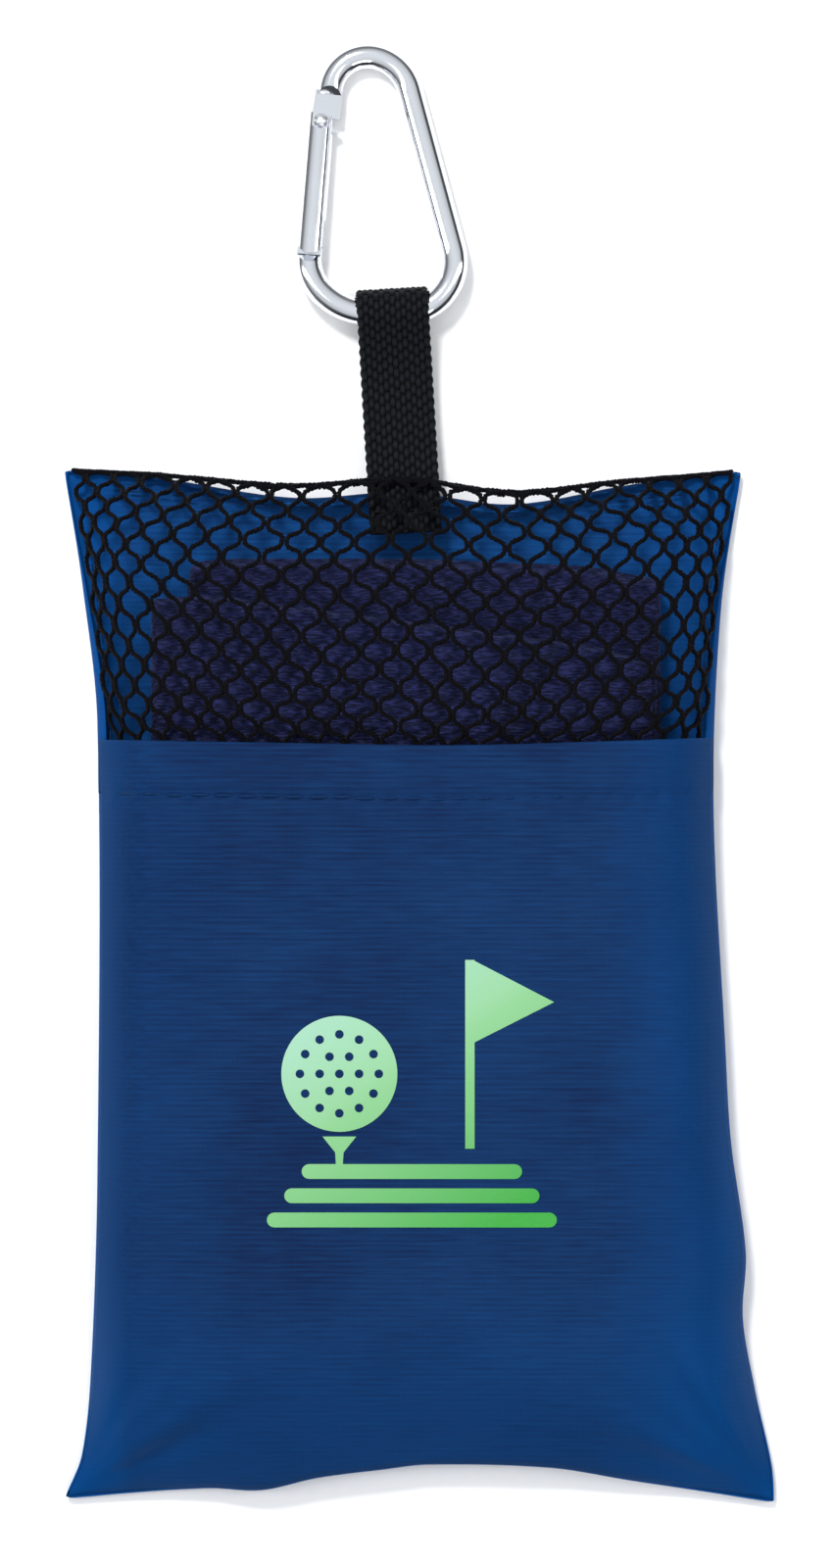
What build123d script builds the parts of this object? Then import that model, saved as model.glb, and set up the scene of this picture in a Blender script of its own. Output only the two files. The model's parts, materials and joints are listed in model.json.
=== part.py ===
"""Golf towel folded into a flat pouch with a net window, a webbing loop and a snap hook.

The pouch lies on its back. +X runs across it, +Y from its closed end to the hook and +Z up
from the surface it lies on. The origin is below the middle of the whole object. Millimetres.
"""

import math
import os

from build123d import *

# ---- pouch outline, seen from above: (along Y, X of the edge) and (along X, Y of the edge) ----
LEFT_EDGE = [(-157, -76.3), (-127, -70.7), (-87, -69.0), (10, -69.0), (40, -72.6), (65, -76.6)]
RIGHT_EDGE = [(-157, 76.6), (-132, 71.6), (-100, 69.0), (-60, 65.6), (-5, 62.9), (35, 64.6), (65, 69.3)]
CLOSED_END = [(-77, -157.0), (-36, -153.7), (2, -149.3), (28, -150.0), (77, -157.7)]
HOOK_END = [(-77, 64.4), (-27, 59.8), (-3.5, 60.3), (20, 58.6), (70, 64.4)]
MOUTH = [(-70, 6.1), (0, 5.0), (64, 6.5)]

# ---- pouch section: heights of the front skin, and how far in from its edge each is reached ----
POUCH_HEIGHT = 21.0
SEAM_Z = 5.4
SEAM_GAP = 0.3
SKIN_RISE = [(0.0, 0.0), (0.17, 0.48), (0.5, 0.84), (0.8, 0.97), (1.0, 1.0)]
SIDE_SHOULDER = 16.0
CLOSED_SHOULDER = 34.0
HOOK_SHOULDER = 26.0
BACK_SHOULDER = 12.0
CLOTH = 0.5
NET_INSET = 0.9
NET_TUCK = 25.0
BACK_CLOTH = 0.4
BACK_RIM = 0.9
EDGE_FRACTIONS = (0.15, 0.38, 0.62, 0.85)
WELL_BEYOND = 300.0

# ---- folded towel ----
TOWEL_LEFT = -57.0
TOWEL_RIGHT = 51.5
TOWEL_CLOSED_END = -122.0
TOWEL_UNDER_LEFT = -49.0
TOWEL_UNDER_TOP_LEFT = 45.0
TOWEL_UNDER_TOP_RIGHT = 41.0
TOWEL_OVER_TOP_LEFT = 38.0
TOWEL_OVER_TOP_RIGHT = 24.5
TOWEL_UNDER_THICKNESS = 9.7
TOWEL_OVER_THICKNESS = 8.7
TOWEL_GAP = 0.4
TOWEL_CORNER = 8.0
TOWEL_EDGE = 3.5

# ---- webbing loop ----
WEBBING_WIDTH = 15.0
WEBBING_PLY = 1.2
PLY_GAP = 0.1
LOOP_REACH = 36.7
LOOP_INNER_RADIUS = 4.2
LOOP_TAPER = 13.0
STRAP_TURN = 3.4
STRAP_X = -3.5
STRAP_ROOM = 1.9
LOOP_FLOOR_GAP = 0.1
TAIL_LENGTH = 10.5
TAIL_GAP = 0.4
SLOT_CLEARANCE = 0.35

# ---- hook frame, in its own plane with the gate along +Y and the hinge at the origin ----
ROD = 5.6
FRAME_CORNERS = [(0, -1.5), (-0.4, -7.7), (7.1, -14.2), (22.0, -15.4), (33.6, -7.1), (16.9, 39.5),
                 (1.8, 42.9), (1.45, 30.5)]
FRAME_RADII = [10.0, 14.9, 15.6, 11.0, 10.0, 8.2]
BAR_POINT = (19.0, -14.1)
HOOK_TURN = -4.65
FLOOR_GAP = 0.05
NOSE_REACH = 56.0
RELIEF_REACH = 7.6

# ---- gate and its fittings ----
TANG = 2.2
TANG_SIDE_GAP = 0.2
TANG_RADIUS = 2.3
SHOULDER_Y = -3.15
NOSE_Y = 31.7
SHOULDER_SLOPE = 1.7
GATE_DIAMETER = 5.9
GATE_LENGTH = 27.5
HINGE_SLOT_DEPTH = 4.4
LATCH_SLOT_START = 23.0
LATCH_POINT = (0.2, 25.8)
PIN_RADIUS = 0.8
PIN_CLEARANCE = 0.06
HINGE_PIN_LENGTH = 5.2
RIVET_HEAD_RADIUS = 1.6
RIVET_HEAD_HEIGHT = 1.0
RIVET_SEAT_Z = 1.8
RIVET_SEAT_WIDTH = 3.4
RIVET_SEAT_START = 1.2
RIVET_SEAT_POINT = 1.0
OVERCUT = 1.0
NOTCH_CLEARANCE = 0.25
TONGUE_LEFT = -2.1
TONGUE_RIGHT = 4.2
TONGUE_END = 23.6
TONGUE_TAPER = 0.6
TONGUE_CORNER = 1.0
NOTCH_AIM_X = -2.5
GATE_OPENING = 30.0
CAM_LIFT = 0.5
CAM_TURN = 39.0
CAM_STEPS = 8
PLUNGER_GAP = 0.15
PLUNGER_RADIUS = 1.2
PLUNGER_LENGTH = 5.4
BORE_CLEARANCE = 0.1
SPRING_WIRE = 0.4
SPRING_TURNS = 7
SPRING_LENGTH = 8.0

# ---- stitching and print ----
STITCH_PITCH = 5.2
STITCH_LENGTH = 4.2
STITCH_WIDTH = 0.5
STITCH_HEIGHT = 0.3
STITCH_LIFT = 0.25
HEM_LINE_DROP = 11.0
HEM_LINE_INSET = 2.72
ARC_CLEARANCE = 1.5
SEAM_STITCH_PITCH = 6.0
SEAM_STITCH_LENGTH = 4.6
SEAM_STITCH_THREAD = 0.3
SEAM_STITCH_INSET = 0.45
BAR_STITCH_PITCH = 1.5
BAR_STITCH_LENGTH = 1.125
BAR_STITCH_ROWS = (4.7, 6.3)
BAR_STITCH_MARGIN = 1.0
EMBLEM_CENTRE = (-1.6, -69.5)
EMBLEM_WIDTH = 62.0
EMBLEM_HEIGHT = 58.0
EMBLEM_THICKNESS = 0.08
EMBLEM_LIFT = 0.06
BALL_RADIUS = 12.4
BALL_X = -15.5
BALL_Y = 3.48
DIMPLE_RADIUS = 1.265
DIMPLE_RINGS = ((0.0, 1), (4.2, 6), (8.4, 12))
POLE_X = 12.4
POLE_WIDTH = 2.0
POLE_LOW = -11.6
FLAG_LENGTH = 17.0
FLAG_HEIGHT = 17.4
BAND_COUNT = 3
BAND_WIDTH = 3.2
BAND_PITCH = 5.2
BAND_LOW = 2.0
BAND_STEP_IN = 7.4


# ---- outline and skin heights ----
def along(points, value):
    """A smooth curve through a few (position, value) points, level with its neighbours' chord."""
    last = len(points) - 1
    value = min(max(value, points[0][0]), points[last][0])
    i = max(k for k in range(last) if points[k][0] <= value)
    (a, fa), (b, fb) = points[i], points[i + 1]
    before = points[max(i - 1, 0)]
    after = points[min(i + 2, last)]
    slope_a = (fb - before[1]) / (b - before[0])
    slope_b = (after[1] - fa) / (after[0] - a)
    span = b - a
    u = (value - a) / span
    start = fa * (2 * u**3 - 3 * u**2 + 1) + slope_a * span * (u**3 - 2 * u**2 + u)
    end = fb * (3 * u**2 - 2 * u**3) + slope_b * span * (u**3 - u**2)
    return start + end


def closed_end(x):
    return along(CLOSED_END, x)


def hook_end(x):
    return along(HOOK_END, x)


def mouth(x):
    return along(MOUTH, x)


def front_height(x, y):
    """Height of the front skin's outer face above a point of the pouch."""
    inwards = min((x - along(LEFT_EDGE, y)) / SIDE_SHOULDER, (along(RIGHT_EDGE, y) - x) / SIDE_SHOULDER,
                  (y - closed_end(x)) / CLOSED_SHOULDER, (hook_end(x) - y) / HOOK_SHOULDER, 1)
    low, high = max(pair for pair in zip(SKIN_RISE, SKIN_RISE[1:]) if pair[0][0] <= inwards)
    share = (inwards - low[0]) / (high[0] - low[0])
    base = SEAM_Z + SEAM_GAP
    return base + (POUCH_HEIGHT - base) * (low[1] + share * (high[1] - low[1]))


def outline(z, side, closed, hook):
    """The pouch's outline at a height, drawn in from its sides and its two ends."""
    low_y = closed_end(0) + closed
    high_y = hook_end(0) - hook

    def corner(edge, sign, end_y):
        x = along(edge, end_y) + sign * side
        y = closed_end(x) + closed if end_y < 0 else hook_end(x) - hook
        return x, y

    corners = [corner(LEFT_EDGE, 1, low_y), corner(RIGHT_EDGE, -1, low_y),
               corner(RIGHT_EDGE, -1, high_y), corner(LEFT_EDGE, 1, high_y)]

    def upright(edge, sign, start, end):
        rows = [start[1] + (end[1] - start[1]) * u for u in EDGE_FRACTIONS]
        return [start] + [(along(edge, y) + sign * side, y) for y in rows] + [end]

    def across(height, start, end):
        columns = [start[0] + (end[0] - start[0]) * u for u in EDGE_FRACTIONS]
        return [start] + [(x, height(x)) for x in columns] + [end]

    edges = [across(lambda x: closed_end(x) + closed, corners[0], corners[1]),
             upright(RIGHT_EDGE, -1, corners[1], corners[2]),
             across(lambda x: hook_end(x) - hook, corners[2], corners[3]),
             upright(LEFT_EDGE, 1, corners[3], corners[0])]
    wire = Wire([Spline([(x, y, z) for x, y in points]) for points in edges])
    return Face(wire)


# ---- pouch ----
def front_form(inset):
    """The solid under the front skin, drawn in all round by an inset."""
    base = SEAM_Z + SEAM_GAP
    top = POUCH_HEIGHT - inset
    levels = []
    for share, rise in SKIN_RISE:
        levels.append(outline(base + (top - base) * rise, inset + share * SIDE_SHOULDER,
                              inset + share * CLOSED_SHOULDER, inset + share * HOOK_SHOULDER))
    return loft(levels, ruled=True)


def front_skin(inset):
    return front_form(inset) - front_form(inset + CLOTH)


def beyond_mouth(drop, side):
    """Everything on one side of the mouth's line, or of a line below it."""
    left = MOUTH[0][0]
    right = MOUTH[-1][0]
    columns = (left - WEBBING_WIDTH, left, 0, right, right + WEBBING_WIDTH)
    points = [(x, mouth(x) - drop) for x in columns]
    far = side * WELL_BEYOND
    flat = make_face(Polyline(points + [(points[-1][0], far), (points[0][0], far)], close=True))
    return extrude(flat, 2 * POUCH_HEIGHT)


def strap_slot():
    """The space that the webbing needs to pass through the seam at the hook end."""
    height = 2 * WEBBING_PLY + PLY_GAP + 2 * SLOT_CLEARANCE
    length = 2 * (TAIL_LENGTH + WEBBING_WIDTH)
    return STRAP_ROOT * Box(WEBBING_WIDTH + 2 * SLOT_CLEARANCE, length, height)


def front_panel():
    return front_skin(0) - beyond_mouth(0, 1)


def mesh_panel():
    return front_skin(NET_INSET) - beyond_mouth(NET_TUCK, -1) - strap_slot()


def back_panel():
    """A flat sheet on the surface, whose rim curls up to the seam."""
    rim_z = SEAM_Z - SEAM_GAP

    def bowl(floor_z, inset):
        foot = BACK_SHOULDER + inset
        return loft([outline(floor_z, foot, foot, foot), outline(rim_z, inset, inset, inset)], ruled=True)

    return bowl(0, 0) - bowl(BACK_CLOTH, BACK_RIM) - strap_slot()


def towel():
    """Two folded stacks, the upper one drawn back to show the lower one's edge."""
    floor_z = BACK_CLOTH + TOWEL_GAP
    under_outline = [(TOWEL_UNDER_LEFT, TOWEL_CLOSED_END), (TOWEL_RIGHT, TOWEL_CLOSED_END),
                     (TOWEL_RIGHT, TOWEL_UNDER_TOP_RIGHT), (TOWEL_UNDER_LEFT, TOWEL_UNDER_TOP_LEFT)]
    over_outline = [(TOWEL_LEFT, TOWEL_CLOSED_END), (TOWEL_RIGHT, TOWEL_CLOSED_END),
                    (TOWEL_RIGHT, TOWEL_OVER_TOP_RIGHT), (TOWEL_LEFT, TOWEL_OVER_TOP_LEFT)]
    under = folded_stack(under_outline, floor_z, TOWEL_UNDER_THICKNESS, 0)
    over = folded_stack(over_outline, floor_z + TOWEL_UNDER_THICKNESS, TOWEL_OVER_THICKNESS, -1)
    return under + over


def folded_stack(points, z, thickness, rounded):
    flat = make_face(Polyline(points, close=True))
    flat = fillet(flat.vertices(), TOWEL_CORNER)
    block = extrude(Pos(0, 0, z) * flat, thickness)
    edges = block.faces().sort_by(Axis.Z)[rounded].edges()
    return fillet(edges, TOWEL_EDGE)


# ---- webbing ----
STRAP_PIVOT = (STRAP_X, hook_end(STRAP_X) + STRAP_ROOM, SEAM_Z)
LOOP_Z = LOOP_FLOOR_GAP + LOOP_INNER_RADIUS + WEBBING_PLY
STRAP_PITCH = -math.degrees(math.asin((STRAP_PIVOT[2] - LOOP_Z) / LOOP_REACH))
STRAP_ROOT = Pos(*STRAP_PIVOT) * Rot(0, 0, STRAP_TURN)
STRAP_PLACE = STRAP_ROOT * Rot(STRAP_PITCH, 0, 0)


def webbing_strap():
    """One length of webbing, folded round the hook's bar with its two plies laid together."""
    ply_half = WEBBING_PLY + PLY_GAP / 2
    taper_y = LOOP_REACH - LOOP_TAPER
    outer_eye = Pos(LOOP_REACH, 0) * Circle(LOOP_INNER_RADIUS + WEBBING_PLY)
    outer_neck = Pos(taper_y, 0) * Circle(ply_half)
    inner_eye = Pos(LOOP_REACH, 0) * Circle(LOOP_INNER_RADIUS)
    inner_neck = Pos(taper_y, 0) * Circle(PLY_GAP / 2)
    outer = make_hull(outer_eye.edges() + outer_neck.edges())
    outer += Pos(taper_y / 2, 0) * Rectangle(taper_y, 2 * ply_half) + Circle(ply_half)
    inner = make_hull(inner_eye.edges() + inner_neck.edges())
    inner += Pos(taper_y / 2 - ply_half, 0) * Rectangle(taper_y + 2 * ply_half, PLY_GAP)
    side_view = Plane.YZ * (outer - inner)
    return STRAP_PLACE * extrude(side_view, WEBBING_WIDTH / 2, both=True)


def webbing_tail():
    """The two ends of the webbing, caught in the seam and lying inside the pouch."""
    ply_half = WEBBING_PLY + PLY_GAP / 2
    start = -ply_half - TAIL_GAP
    plies = [Pos(0, start - TAIL_LENGTH / 2, side * (WEBBING_PLY + PLY_GAP) / 2)
             * Box(WEBBING_WIDTH, TAIL_LENGTH, WEBBING_PLY) for side in (-1, 1)]
    return STRAP_ROOT * Compound(children=plies)


def strap_stitching():
    """Two rows of lock stitches across the webbing's ends."""
    top = WEBBING_PLY + PLY_GAP / 2 + STITCH_LIFT / 2
    count = int((WEBBING_WIDTH - 2 * BAR_STITCH_MARGIN) / BAR_STITCH_PITCH)
    rows = []
    for back in BAR_STITCH_ROWS:
        y = -WEBBING_PLY - TAIL_GAP - back
        for i in range(count):
            x = (i - (count - 1) / 2) * BAR_STITCH_PITCH
            single = Box(BAR_STITCH_LENGTH, STITCH_WIDTH, STITCH_HEIGHT)
            rows.append(Pos(x, y, top + STITCH_HEIGHT / 2) * single)
    return STRAP_ROOT * Compound(children=rows)


# ---- hook ----
LOOP_POINT = (STRAP_PLACE * Pos(0, LOOP_REACH, 0)).position
HOOK_TILT = -math.degrees(math.asin((LOOP_Z - ROD / 2 - FLOOR_GAP) / NOSE_REACH))
HOOK_TURNED = Rot(HOOK_TILT, 0, 0) * Rot(0, 0, HOOK_TURN)
HOOK_PLACE = Pos(*LOOP_POINT) * HOOK_TURNED * Pos(-BAR_POINT[0], -BAR_POINT[1], 0)


def carabiner_body():
    """A bent rod with a flat tang for the gate's hinge and a flat, notched nose."""
    path = FilletPolyline(*FRAME_CORNERS, radius=FRAME_RADII)
    start = Plane(origin=path @ 0, z_dir=path % 0)
    rod = sweep(start * Circle(ROD / 2), path)
    half = TANG / 2
    high = ROD
    outer_shoulder = SHOULDER_Y - SHOULDER_SLOPE * (high - half) / (ROD / 2 - half)
    outer_nose = NOSE_Y + SHOULDER_SLOPE * (high - half) / (ROD / 2 - half)
    relief_outline = [(SHOULDER_Y, half), (NOSE_Y, half), (outer_nose, high), (outer_shoulder, high)]
    relief_face = Plane.YZ * make_face(Polyline(relief_outline, close=True))
    relief = extrude(relief_face, RELIEF_REACH, both=True)
    rod = rod - relief - mirror(relief, Plane.XY)
    return HOOK_PLACE * (rod + tang() + tongue() - Cylinder(PIN_RADIUS + PIN_CLEARANCE, ROD))


def tang():
    """The flat ear that the gate turns on, with a cam that lifts the plunger as it opens."""
    stem_end = SHOULDER_Y - SHOULDER_SLOPE
    stem = Pos(0, stem_end / 2) * Rectangle(2 * TANG_RADIUS, -stem_end)
    rise = []
    for i in range(CAM_STEPS + 1):
        turn = CAM_TURN * i / CAM_STEPS
        reach = TANG_RADIUS + CAM_LIFT * turn / GATE_OPENING
        rise.append((reach * math.sin(math.radians(turn)), reach * math.cos(math.radians(turn))))
    cam_edges = Spline(rise) + Polyline([rise[-1], (0, 0), rise[0]])
    cam = make_face(cam_edges)
    return extrude(Circle(TANG_RADIUS) + stem + cam, TANG / 2, both=True)


def tongue():
    """The flat nose that the gate's two ears close over, notched for the latch rivet."""
    root_y = NOSE_Y + OVERCUT
    corners = [(TONGUE_LEFT, TONGUE_END), (TONGUE_RIGHT, TONGUE_END), (TONGUE_RIGHT, root_y),
               (TONGUE_LEFT + TONGUE_TAPER, root_y)]
    flat = make_face(Polyline(corners, close=True))
    flat = fillet(flat.vertices().sort_by(Axis.Y)[:2], TONGUE_CORNER)
    notch_width = 2 * (PIN_RADIUS + NOTCH_CLEARANCE)
    swing = math.degrees(math.atan2(NOTCH_AIM_X - LATCH_POINT[0], LATCH_POINT[1]))
    reach = TONGUE_RIGHT - TONGUE_LEFT
    notch = Circle(notch_width / 2) + Pos(reach / 2, 0) * Rectangle(reach, notch_width)
    flat -= Pos(*LATCH_POINT) * Rot(0, 0, swing) * notch
    return extrude(flat, TANG / 2, both=True)


def gate():
    radius = GATE_DIAMETER / 2
    bar = extrude(Plane.XZ * Circle(radius), -GATE_LENGTH)
    heel = Cylinder(radius, GATE_DIAMETER) & Rot(90, 0, 0) * Cylinder(radius, GATE_DIAMETER)
    bar += heel
    slot = TANG + 2 * TANG_SIDE_GAP
    wide = 2 * GATE_DIAMETER
    bar -= Pos(0, HINGE_SLOT_DEPTH / 2 - radius, 0) * Box(wide, HINGE_SLOT_DEPTH + 2 * radius, slot)
    latch_length = GATE_LENGTH - LATCH_SLOT_START
    bar -= Pos(0, LATCH_SLOT_START + latch_length, 0) * Box(wide, 2 * latch_length, slot)
    bore_end = spring_start() + SPRING_LENGTH
    bar -= extrude(Plane.XZ * Circle(PLUNGER_RADIUS + BORE_CLEARANCE), -bore_end)
    bar -= Cylinder(PIN_RADIUS, GATE_DIAMETER)
    bar -= Pos(*LATCH_POINT, 0) * Cylinder(PIN_RADIUS, GATE_DIAMETER)
    seat = rivet_seat()
    return HOOK_PLACE * (bar - seat - mirror(seat, Plane.XY))


def rivet_seat():
    """A flat milled into an ear for a rivet head, open at the gate's end."""
    half = RIVET_SEAT_WIDTH / 2
    right = half + LATCH_POINT[0]
    start_y = LATCH_POINT[1] - RIVET_SEAT_START
    end_y = GATE_LENGTH + OVERCUT
    corners = [(-half, end_y), (-half, start_y), (LATCH_POINT[0], start_y - RIVET_SEAT_POINT),
               (right, start_y), (right, end_y)]
    return extrude(Pos(0, 0, RIVET_SEAT_Z) * make_face(Polyline(corners, close=True)), GATE_DIAMETER)


def hinge_pin():
    return HOOK_PLACE * Cylinder(PIN_RADIUS, HINGE_PIN_LENGTH)


def latch_rivet():
    shank = Cylinder(PIN_RADIUS, 2 * RIVET_SEAT_Z)
    ball = (RIVET_HEAD_RADIUS**2 + RIVET_HEAD_HEIGHT**2) / (2 * RIVET_HEAD_HEIGHT)
    dome = Pos(0, 0, RIVET_SEAT_Z + RIVET_HEAD_HEIGHT - ball) * Sphere(ball)
    dome &= Pos(0, 0, RIVET_SEAT_Z + GATE_DIAMETER / 2) * Box(ROD, ROD, GATE_DIAMETER)
    rivet = shank + dome + mirror(dome, Plane.XY)
    return HOOK_PLACE * Pos(*LATCH_POINT, 0) * rivet


def plunger_start():
    return TANG_RADIUS + PLUNGER_GAP


def spring_start():
    return plunger_start() + PLUNGER_LENGTH


def spring_plunger():
    """A round-nosed pin that the spring presses against the tang's cam."""
    start = plunger_start()
    barrel_start = start + PLUNGER_RADIUS
    barrel = extrude(Plane.XZ * Circle(PLUNGER_RADIUS), -(PLUNGER_LENGTH - PLUNGER_RADIUS))
    return HOOK_PLACE * Pos(0, barrel_start, 0) * (barrel + Sphere(PLUNGER_RADIUS))


def gate_spring():
    """A compression spring between the plunger and the end of the gate's bore."""
    coil_radius = PLUNGER_RADIUS - SPRING_WIRE / 2
    pitch = (SPRING_LENGTH - 2 * SPRING_WIRE) / SPRING_TURNS
    coil = Helix(pitch, pitch * SPRING_TURNS, coil_radius)
    start = Plane(origin=coil @ 0, z_dir=coil % 0)
    wire = sweep(start * Circle(SPRING_WIRE / 2), coil)
    return HOOK_PLACE * Pos(0, spring_start() + SPRING_WIRE, 0) * Rot(-90, 0, 0) * wire


# ---- stitching and print ----
def stitch(start, end, normal, length, width, height):
    """A short flat stitch midway between two points."""
    middle = (start + end) / 2
    plane = Plane(origin=middle, x_dir=end - start, z_dir=normal)
    return plane * Box(length, width, height)


def hem_stitching():
    """Row of stitches that holds the folded hem below the pouch's mouth."""
    def top(x):
        y = mouth(x) - HEM_LINE_DROP
        return Vector(x, y, front_height(x, y) + STITCH_LIFT + STITCH_HEIGHT / 2)

    y_side = mouth(0) - HEM_LINE_DROP
    first = along(LEFT_EDGE, y_side) + HEM_LINE_INSET
    last = along(RIGHT_EDGE, y_side) - HEM_LINE_INSET
    count = int((last - first) / STITCH_PITCH)
    stitches = []
    for i in range(count):
        x = first + (i + 0.5) * (last - first) / count
        a = top(x - STITCH_LENGTH / 2)
        b = top(x + STITCH_LENGTH / 2)
        run = b - a
        clear = max(top(x).Z - (a.Z + b.Z) / 2, 0)
        lift = Vector(0, 0, ARC_CLEARANCE * clear)
        normal = Vector(-run.Z, 0, run.X)
        stitches.append(stitch(a + lift, b + lift, normal, STITCH_LENGTH, STITCH_WIDTH, STITCH_HEIGHT))
    return Compound(children=stitches)


def seam_stitching(route, keep_clear=None):
    """Stitches between the front and back skins along one edge of the pouch."""
    length = (route(1) - route(0)).length
    count = int(length / SEAM_STITCH_PITCH)
    stitches = []
    for i in range(1, count - 1):
        a = route(i / count)
        b = route((i + 1) / count)
        middle = (a + b) / 2
        if keep_clear is not None and abs(middle.X - keep_clear) < WEBBING_WIDTH / 2 + SEAM_STITCH_LENGTH:
            continue
        thread = SEAM_STITCH_THREAD
        stitches.append(stitch(a, b, Vector(0, 0, 1), SEAM_STITCH_LENGTH, thread, thread))
    return Compound(children=stitches)


def side_seam(edge, inwards):
    low_y = closed_end(0)
    high_y = hook_end(0)

    def route(u):
        y = low_y + (high_y - low_y) * u
        return Vector(along(edge, y) + inwards * SEAM_STITCH_INSET, y, SEAM_Z)

    return seam_stitching(route)


def end_seam(edge, inwards, keep_clear=None):
    left = along(LEFT_EDGE, 0)
    right = along(RIGHT_EDGE, 0)

    def route(u):
        x = left + (right - left) * u
        return Vector(x, edge(x) + inwards * SEAM_STITCH_INSET, SEAM_Z)

    return seam_stitching(route, keep_clear)


def printed_emblem():
    """A generic golf print: ball, flag on its stick and bands of turf, as thin ink."""
    ball = Circle(BALL_RADIUS)
    for ring, number in DIMPLE_RINGS:
        for i in range(number):
            ball -= Rot(0, 0, 360 * i / number) * Pos(ring, 0) * Circle(DIMPLE_RADIUS)
    high = EMBLEM_HEIGHT / 2
    pole = Pos(POLE_X, (POLE_LOW + high) / 2) * Rectangle(POLE_WIDTH, high - POLE_LOW)
    hoist_x = POLE_X + POLE_WIDTH / 2
    tip = (hoist_x + FLAG_LENGTH, high - FLAG_HEIGHT / 2)
    flag_points = [(hoist_x, high), tip, (hoist_x, high - FLAG_HEIGHT)]
    flag = make_face(Polyline(flag_points, close=True))
    shapes = [Pos(BALL_X, BALL_Y) * ball, pole + flag]
    for i in range(BAND_COUNT):
        band_y = BAND_LOW + BAND_PITCH * i - high
        shapes.append(Pos(0, band_y) * SlotOverall(EMBLEM_WIDTH - BAND_STEP_IN * i, BAND_WIDTH))
    place = Pos(*EMBLEM_CENTRE, POUCH_HEIGHT + EMBLEM_LIFT)
    return place * Compound(children=[extrude(shape, EMBLEM_THICKNESS) for shape in shapes])


PARTS = {
    "back_panel": back_panel,
    "front_panel": front_panel,
    "mesh_panel": mesh_panel,
    "towel": towel,
    "webbing_strap": webbing_strap,
    "webbing_tail": webbing_tail,
    "strap_stitching": strap_stitching,
    "carabiner_body": carabiner_body,
    "gate": gate,
    "hinge_pin": hinge_pin,
    "latch_rivet": latch_rivet,
    "spring_plunger": spring_plunger,
    "gate_spring": gate_spring,
    "hem_stitching": hem_stitching,
    "left_seam_stitching": lambda: side_seam(LEFT_EDGE, 1),
    "right_seam_stitching": lambda: side_seam(RIGHT_EDGE, -1),
    "closed_end_stitching": lambda: end_seam(closed_end, 1),
    "hook_end_stitching": lambda: end_seam(hook_end, -1, STRAP_X),
    "printed_emblem": printed_emblem,
}

os.makedirs("parts", exist_ok=True)
for name, make in PARTS.items():
    export_step(make(), f"parts/{name}.step")
    print("wrote", name)

gate_axis = (HOOK_PLACE * Pos(0, 0, 1)).position - HOOK_PLACE.position
slide_axis = (HOOK_PLACE * Pos(0, 1, 0)).position - HOOK_PLACE.position
print("strap pivot", STRAP_PIVOT, "bar axis point", LOOP_POINT, "gate hinge", HOOK_PLACE.position)
print("gate normal", gate_axis, "gate direction", slide_axis)
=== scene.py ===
# %% [markdown]
# # A golf towel in its pouch
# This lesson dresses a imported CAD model: a flat fabric pouch with a net window, a folded towel
# inside, a webbing loop and a polished snap hook. The CAD holds every size and joint. Here the
# cloth, net, webbing and print get their real surface, and each finish is made from nodes.

import json
import math

import bmesh
import bpy
import numpy as np
from mathutils import Matrix, Vector, noise


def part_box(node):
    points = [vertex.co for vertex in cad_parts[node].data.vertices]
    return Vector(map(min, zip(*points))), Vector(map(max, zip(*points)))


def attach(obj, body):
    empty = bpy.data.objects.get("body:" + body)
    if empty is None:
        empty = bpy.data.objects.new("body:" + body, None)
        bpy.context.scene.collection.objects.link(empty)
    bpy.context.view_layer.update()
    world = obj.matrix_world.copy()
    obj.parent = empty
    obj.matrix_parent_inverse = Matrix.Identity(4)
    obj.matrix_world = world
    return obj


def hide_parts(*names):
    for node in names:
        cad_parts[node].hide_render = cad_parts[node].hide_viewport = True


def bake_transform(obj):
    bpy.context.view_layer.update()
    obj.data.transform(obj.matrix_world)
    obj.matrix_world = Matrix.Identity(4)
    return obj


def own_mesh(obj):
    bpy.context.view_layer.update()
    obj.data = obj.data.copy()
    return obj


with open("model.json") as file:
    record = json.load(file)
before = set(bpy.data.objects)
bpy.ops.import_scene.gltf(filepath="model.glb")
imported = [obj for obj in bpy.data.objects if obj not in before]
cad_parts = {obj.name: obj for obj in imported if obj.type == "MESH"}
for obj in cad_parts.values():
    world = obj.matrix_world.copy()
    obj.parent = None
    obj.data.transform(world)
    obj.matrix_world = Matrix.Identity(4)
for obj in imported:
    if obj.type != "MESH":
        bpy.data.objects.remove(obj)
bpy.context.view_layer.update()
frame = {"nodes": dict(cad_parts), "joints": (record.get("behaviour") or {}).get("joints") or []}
joints = {joint["name"]: joint for joint in frame["joints"]}
MM = 0.001

# %% [markdown]
# Most measures of cloth are easiest to think of in millimetres, so the shapes below are worked
# out in millimetres and only become metres when a mesh is filled. One helper makes a piece, rides
# it on its body, gives it its material, and hides the plain CAD solid.


# %% Helpers for pieces
def smooth(bm):
    for face in bm.faces:
        face.smooth = True


def make_piece(name, bm, body, material, stands_for=(), shaded_smooth=True):
    """Turns a bmesh in millimetres into a finished object at the origin, in metres."""
    bmesh.ops.scale(bm, vec=(MM, MM, MM), verts=bm.verts)
    if shaded_smooth:
        smooth(bm)
    mesh = bpy.data.meshes.new(name)
    bm.to_mesh(mesh)
    bm.free()
    piece = bpy.data.objects.new(name, mesh)
    bpy.context.scene.collection.objects.link(piece)
    mesh.materials.append(material)
    if body:
        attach(piece, body)
    if stands_for:
        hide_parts(*stands_for)
    print(name, len(mesh.vertices), "vertices", len(mesh.polygons), "faces")
    return piece


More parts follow.
